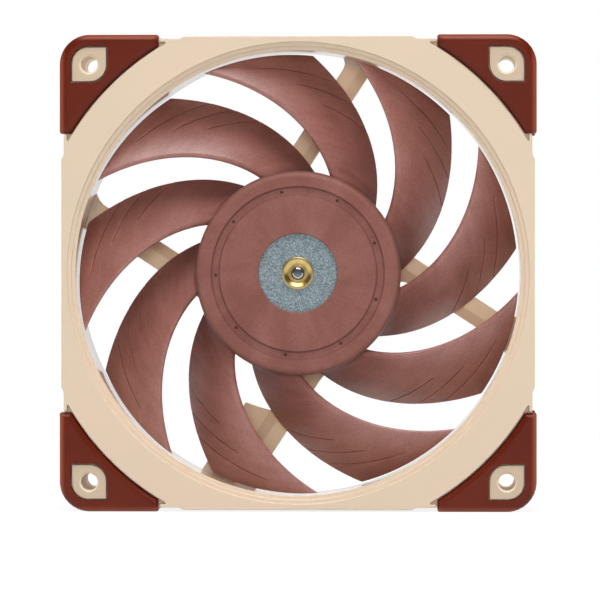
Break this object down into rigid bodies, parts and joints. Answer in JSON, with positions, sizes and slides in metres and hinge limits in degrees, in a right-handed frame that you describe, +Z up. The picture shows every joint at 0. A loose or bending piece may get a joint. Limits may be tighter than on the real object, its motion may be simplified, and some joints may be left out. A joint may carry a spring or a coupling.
{
  "type": "case fan",
  "caption": "Square-framed axial case fan with swept blades on a round hub, soft corner pads and a sleeve-bearing motor, shown from the intake side.",
  "frame": {"origin": "on the fan's axis at mid-depth, the centre of the square frame", "axes": "+Y along the axis from the intake to the outlet, +X to the right seen from the intake side, +Z up"},
  "size_m": [0.12, 0.025, 0.12],
  "materials": {
    "frame_plastic": "moulded satin, beige",
    "pad_silicone": "matt moulded silicone, red-brown",
    "blade_plastic": "fibre-filled moulding with flow streaks, satin",
    "galvanised_steel": "galvanised sheet",
    "brass": "turned",
    "shaft_steel": "ground",
    "ferrite": "bonded magnet",
    "sintered_bronze": "sintered, oiled",
    "laminations": "stamped silicon steel",
    "nylon": "moulded",
    "copper": "enamelled wire",
    "pin_steel": "tinned",
    "laminate": "solder mask",
    "resin": "moulded resin",
    "ceramic": "fired ceramic"
  },
  "bodies": {
    "housing": {"frame": "frame_plastic", "pad_front_top_right": "pad_silicone", "pad_front_top_left": "pad_silicone", "pad_front_bottom_left": "pad_silicone", "pad_front_bottom_right": "pad_silicone", "pad_rear_top_right": "pad_silicone", "pad_rear_top_left": "pad_silicone", "pad_rear_bottom_left": "pad_silicone", "pad_rear_bottom_right": "pad_silicone", "bearing_tube": "brass", "sleeve_bearing": "sintered_bronze", "thrust_pad": "resin", "stator_core": "laminations", "front_insulator": "nylon", "rear_insulator": "nylon", "coil_1": "copper", "coil_2": "copper", "coil_3": "copper", "coil_4": "copper", "winding_pin_1": "pin_steel", "winding_pin_2": "pin_steel", "winding_pin_3": "pin_steel", "winding_pin_4": "pin_steel", "circuit_board": "laminate", "driver_chip": "resin", "hall_sensor": "resin", "capacitor": "ceramic"},
    "rotor": {"impeller": "blade_plastic", "rotor_yoke": "galvanised_steel", "magnet_ring": "ferrite", "shaft_bush": "brass", "shaft": "shaft_steel", "retaining_clip": "nylon", "oil_slinger": "nylon"}
  },
  "joints": [
    {"name": "rotor_spin", "type": "hinge", "parent": "housing", "child": "rotor", "pos_m": [0, 0, 0], "axis": [0, -1, 0], "continuous": true}
  ]
}
